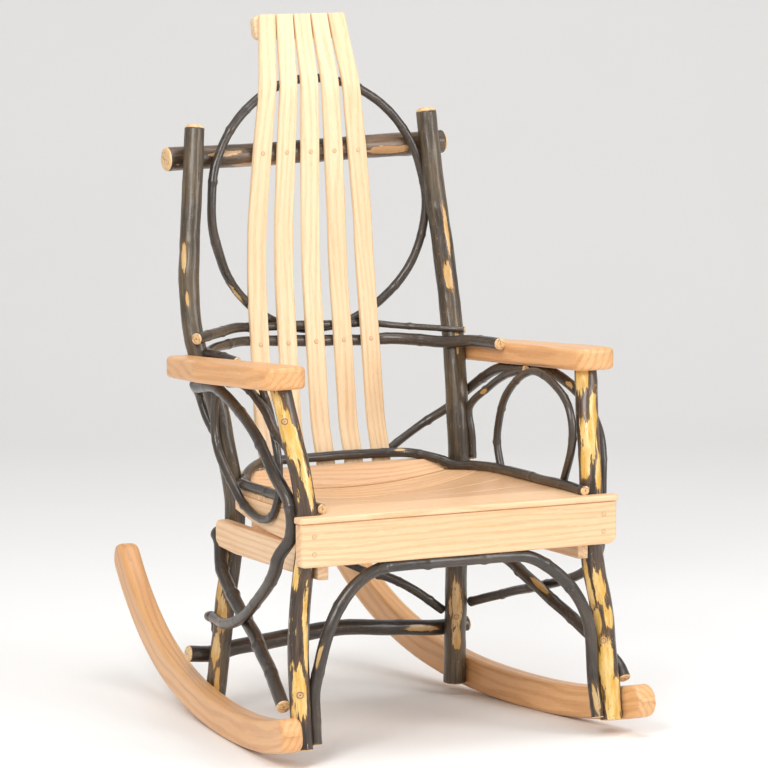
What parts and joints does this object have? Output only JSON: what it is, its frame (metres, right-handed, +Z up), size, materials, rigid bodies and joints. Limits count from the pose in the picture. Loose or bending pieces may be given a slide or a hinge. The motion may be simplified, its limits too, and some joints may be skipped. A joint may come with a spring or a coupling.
{
  "type": "rocking chair",
  "caption": "Rustic rocking chair: fan of bent oak slats, oak arms, seat and rockers on bark-on hickory logs with bent branch hoops and braces.",
  "frame": {"origin": "centre of the footprint box on the floor, under the rockers", "axes": "+X towards the viewer's right as the chair faces the viewer, -Y towards the front of the chair, +Z up"},
  "size_m": [0.6714, 0.907, 1.149],
  "materials": {
    "arm_arc_left": "bark-on hickory, lacquered",
    "arm_arc_right": "bark-on hickory, lacquered",
    "arm_hoop": "bark-on hickory, lacquered",
    "arm_left": "steam-bent oak, satin lacquer",
    "arm_right": "steam-bent oak, satin lacquer",
    "arm_ring_left": "bark-on hickory, lacquered",
    "arm_ring_right": "bark-on hickory, lacquered",
    "back_hoop": "bark-on hickory, lacquered",
    "back_rail": "oak, satin",
    "back_slat_1": "pale oak, satin",
    "back_slat_2": "pale oak, satin",
    "back_slat_3": "pale oak, satin",
    "back_slat_4": "pale oak, satin",
    "back_slat_5": "pale oak, satin",
    "crest_rail": "pale oak, satin",
    "front_arch": "bark-on hickory, lacquered",
    "front_leg_left": "bark-on hickory, lacquered",
    "front_leg_right": "bark-on hickory, lacquered",
    "front_rail": "oak, satin",
    "rear_brace": "bark-on hickory, lacquered",
    "rear_post_left": "bark-on hickory, lacquered",
    "rear_post_right": "bark-on hickory, lacquered",
    "rear_stretcher": "bark-on hickory, lacquered",
    "rocker_left": "steam-bent oak, satin lacquer",
    "rocker_right": "steam-bent oak, satin lacquer",
    "seat_cleat_left": "oak, satin",
    "seat_cleat_right": "oak, satin",
    "seat_cross_rail": "oak, satin",
    "seat_hoop": "bark-on hickory, lacquered",
    "seat_slat_1": "oak, satin",
    "seat_slat_2": "oak, satin",
    "seat_slat_3": "oak, satin",
    "seat_slat_4": "oak, satin",
    "seat_slat_5": "oak, satin",
    "seat_slat_6": "oak, satin",
    "side_brace_left": "bark-on hickory, lacquered",
    "side_brace_right": "bark-on hickory, lacquered",
    "side_hoop_left": "bark-on hickory, lacquered",
    "side_hoop_right": "bark-on hickory, lacquered",
    "side_rail_left": "oak, satin",
    "side_rail_right": "oak, satin",
    "top_crossbar": "bark-on hickory, lacquered",
    "upper_twig": "bark-on hickory, lacquered"
  },
  "bodies": {
    "root": {"arm_arc_left": "arm_arc_left", "arm_arc_right": "arm_arc_right", "arm_hoop": "arm_hoop", "arm_left": "arm_left", "arm_right": "arm_right", "arm_ring_left": "arm_ring_left", "arm_ring_right": "arm_ring_right", "back_hoop": "back_hoop", "back_rail": "back_rail", "back_slat_1": "back_slat_1", "back_slat_2": "back_slat_2", "back_slat_3": "back_slat_3", "back_slat_4": "back_slat_4", "back_slat_5": "back_slat_5", "crest_rail": "crest_rail", "front_arch": "front_arch", "front_leg_left": "front_leg_left", "front_leg_right": "front_leg_right", "front_rail": "front_rail", "rear_brace": "rear_brace", "rear_post_left": "rear_post_left", "rear_post_right": "rear_post_right", "rear_stretcher": "rear_stretcher", "rocker_left": "rocker_left", "rocker_right": "rocker_right", "seat_cleat_left": "seat_cleat_left", "seat_cleat_right": "seat_cleat_right", "seat_cross_rail": "seat_cross_rail", "seat_hoop": "seat_hoop", "seat_slat_1": "seat_slat_1", "seat_slat_2": "seat_slat_2", "seat_slat_3": "seat_slat_3", "seat_slat_4": "seat_slat_4", "seat_slat_5": "seat_slat_5", "seat_slat_6": "seat_slat_6", "side_brace_left": "side_brace_left", "side_brace_right": "side_brace_right", "side_hoop_left": "side_hoop_left", "side_hoop_right": "side_hoop_right", "side_rail_left": "side_rail_left", "side_rail_right": "side_rail_right", "top_crossbar": "top_crossbar", "upper_twig": "upper_twig"}
  },
  "joints": []
}
